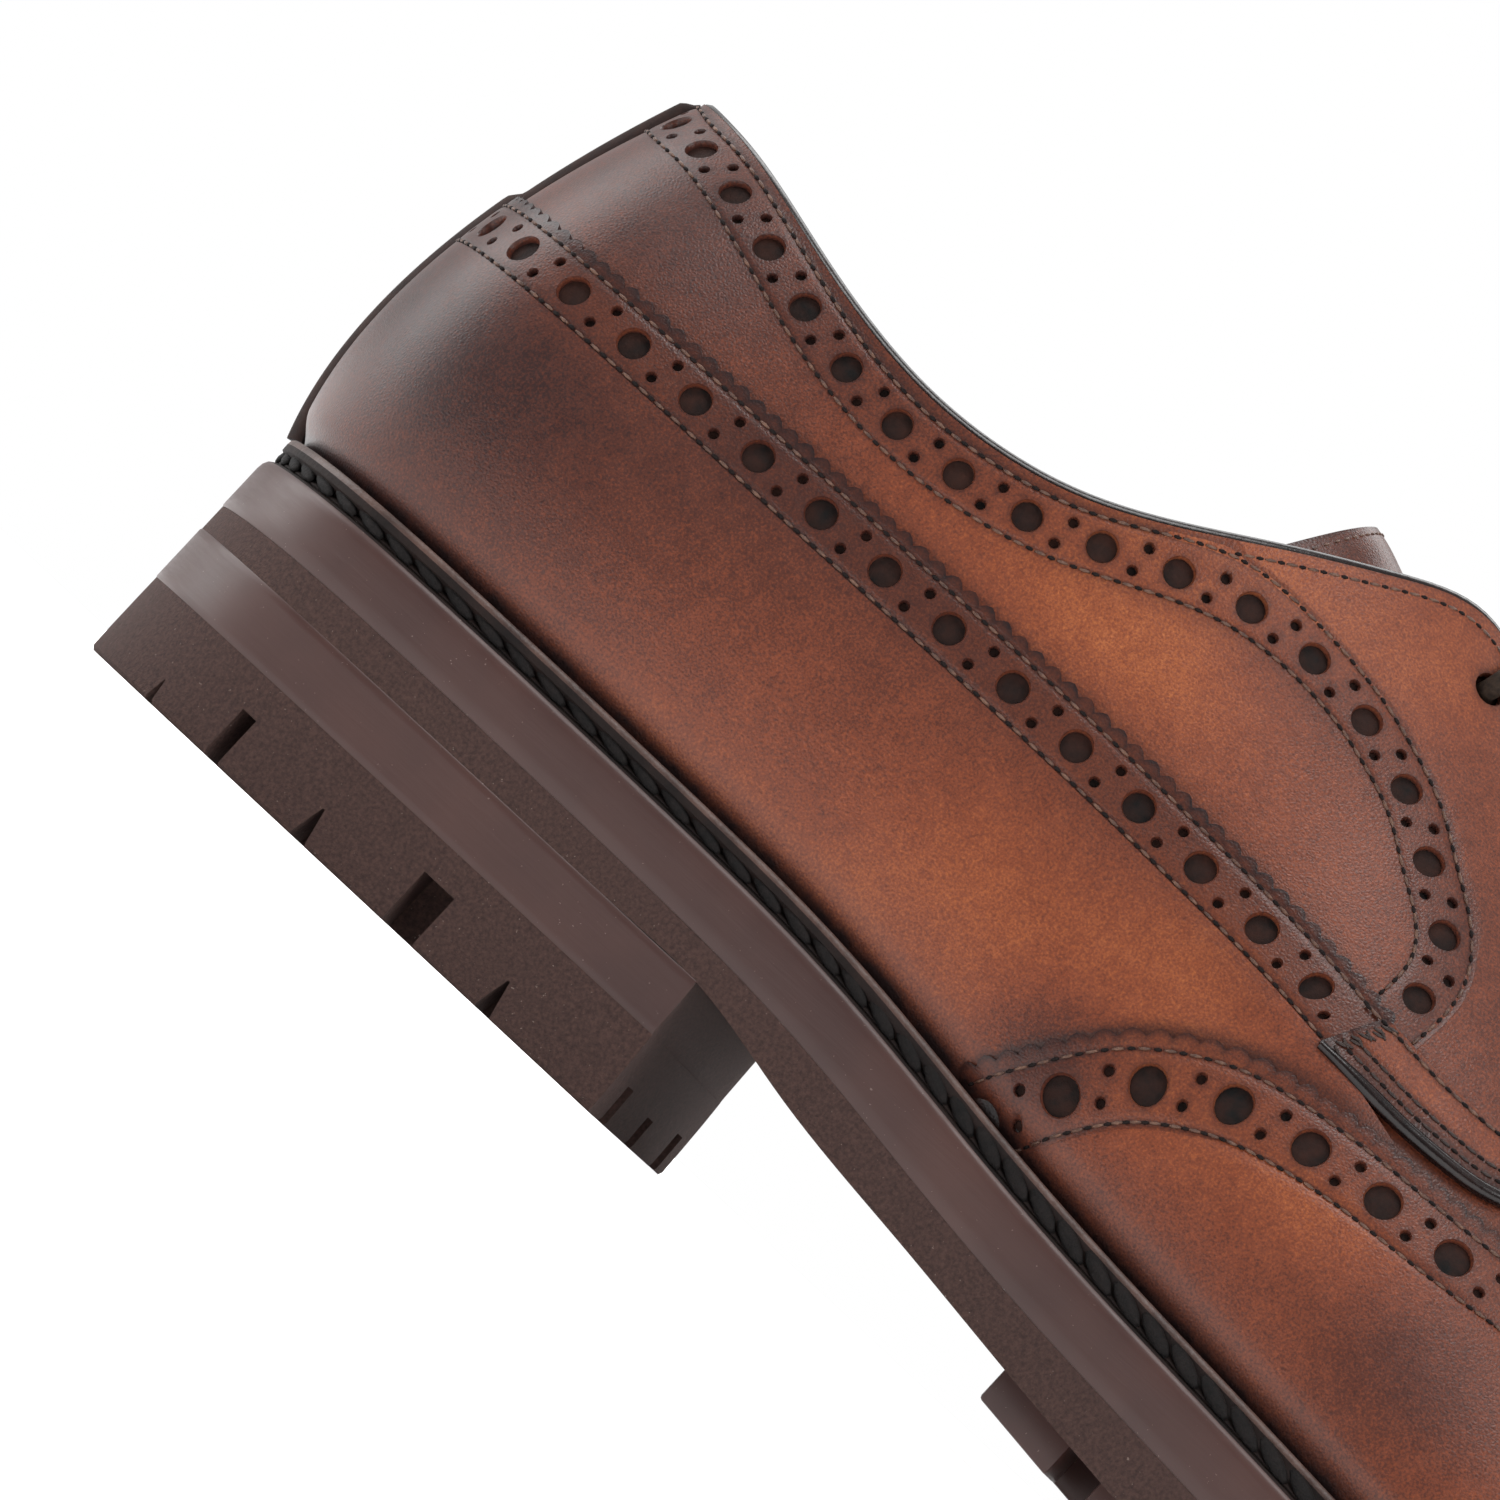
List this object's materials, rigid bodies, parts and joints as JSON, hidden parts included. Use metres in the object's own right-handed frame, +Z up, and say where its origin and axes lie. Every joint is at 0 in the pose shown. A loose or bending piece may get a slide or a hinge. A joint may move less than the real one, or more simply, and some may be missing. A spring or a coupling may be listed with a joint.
{
  "type": "brogue derby shoe",
  "caption": "Right-foot brogue derby shoe: hollow leather upper with wing cap, counter panel and lace flaps on a storm welt and a lugged rubber sole with a separate heel.",
  "frame": {"origin": "centre of the bounding box, on the floor plane", "axes": "+X to the toe, +Y to the inner side of the foot, +Z up"},
  "size_m": [0.3099, 0.11, 0.1094],
  "materials": {
    "leather": "burnished brown calf, satin",
    "panel_leather": "darker burnished brown calf, satin",
    "lining": "plain tan lining, matt",
    "rubber": "dark brown, smooth and rough bands",
    "welt": "dark brown, waxed",
    "lace_cord": "dark waxed cotton"
  },
  "bodies": {
    "root": {"outsole": "rubber", "midsole": "rubber", "heel": "rubber", "welt": "welt", "insole": "lining", "upper": "leather", "foxing": "panel_leather", "wing_cap": "panel_leather", "facing_lateral": "panel_leather", "facing_medial": "panel_leather", "back_strip": "panel_leather", "tongue": "leather", "lace_bar_1": "lace_cord", "lace_bar_2": "lace_cord", "lace_bar_3": "lace_cord", "lace_bar_4": "lace_cord", "lace_bar_5": "lace_cord"}
  },
  "joints": []
}
